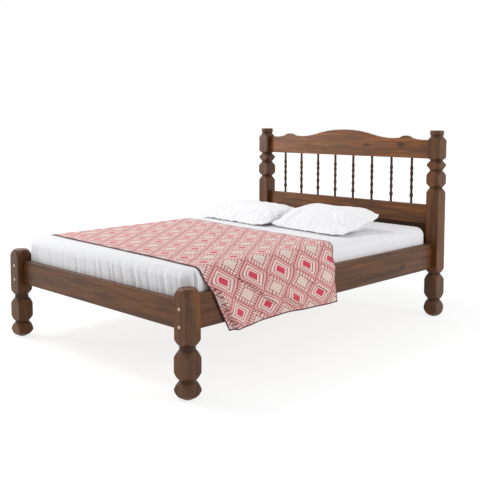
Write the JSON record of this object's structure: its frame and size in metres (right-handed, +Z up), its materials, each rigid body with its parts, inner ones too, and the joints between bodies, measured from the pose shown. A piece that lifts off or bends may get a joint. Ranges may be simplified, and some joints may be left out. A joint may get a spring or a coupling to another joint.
{
  "type": "turned wood double bed",
  "caption": "Stained pine double bed with square turned posts, a shaped crest rail over turned spindles, slatted base, mattress, pillows and a patterned bedspread.",
  "frame": {"origin": "on the floor under the middle of the four posts", "axes": "+X to the right side seen from the foot, +Y from the foot to the headboard, +Z up"},
  "size_m": [1.54, 2.174, 1.177],
  "materials": {
    "stained_pine": "satin",
    "raw_pine": "matte",
    "zinc_steel": "satin",
    "cream_plastic": "satin",
    "black_plastic": "matte",
    "mattress_foam": "matte",
    "white_cotton": "matte",
    "pillow_fill": "matte",
    "printed_cotton": "matte"
  },
  "bodies": {
    "frame": {"head_post_left": "stained_pine", "head_post_right": "stained_pine", "foot_post_left": "stained_pine", "foot_post_right": "stained_pine", "side_rail_left": "stained_pine", "side_rail_right": "stained_pine", "foot_rail": "stained_pine", "head_cross_rail": "stained_pine", "head_filler_board": "stained_pine", "headboard_lower_rail": "stained_pine", "headboard_crest_rail": "stained_pine", "spindle_1": "stained_pine", "spindle_2": "stained_pine", "spindle_3": "stained_pine", "spindle_4": "stained_pine", "spindle_5": "stained_pine", "spindle_6": "stained_pine", "spindle_7": "stained_pine", "spindle_8": "stained_pine", "ledger_left": "raw_pine", "ledger_right": "raw_pine", "centre_beam": "raw_pine", "centre_leg": "raw_pine", "leg_dowel": "raw_pine", "slat_01": "raw_pine", "slat_02": "raw_pine", "slat_03": "raw_pine", "slat_04": "raw_pine", "slat_05": "raw_pine", "slat_06": "raw_pine", "slat_07": "raw_pine", "slat_08": "raw_pine", "slat_09": "raw_pine", "slat_10": "raw_pine", "slat_11": "raw_pine", "slat_12": "raw_pine", "slat_13": "raw_pine", "beam_hangers": "zinc_steel", "hanger_screws": "zinc_steel", "ledger_screws": "zinc_steel", "slat_screws": "zinc_steel", "frame_bolts": "zinc_steel", "barrel_nuts": "zinc_steel", "bolt_caps": "cream_plastic", "foot_glides": "black_plastic"},
    "mattress": {"mattress": "mattress_foam", "fitted_sheet": "white_cotton"},
    "bedspread": {"bedspread": "printed_cotton"},
    "pillow_left": {"pillow_left": "pillow_fill"},
    "pillow_right": {"pillow_right": "pillow_fill"}
  },
  "joints": [
    {"name": "mattress_lift", "type": "slide", "parent": "frame", "child": "mattress", "axis": [0, 0, 1], "range_m": [0, 0.85]},
    {"name": "bedspread_lift", "type": "slide", "parent": "mattress", "child": "bedspread", "axis": [0, 0, 1], "range_m": [0, 0.6]},
    {"name": "pillow_left_lift", "type": "slide", "parent": "mattress", "child": "pillow_left", "axis": [0, 0, 1], "range_m": [0, 0.6]},
    {"name": "pillow_right_lift", "type": "slide", "parent": "mattress", "child": "pillow_right", "axis": [0, 0, 1], "range_m": [0, 0.6]}
  ]
}
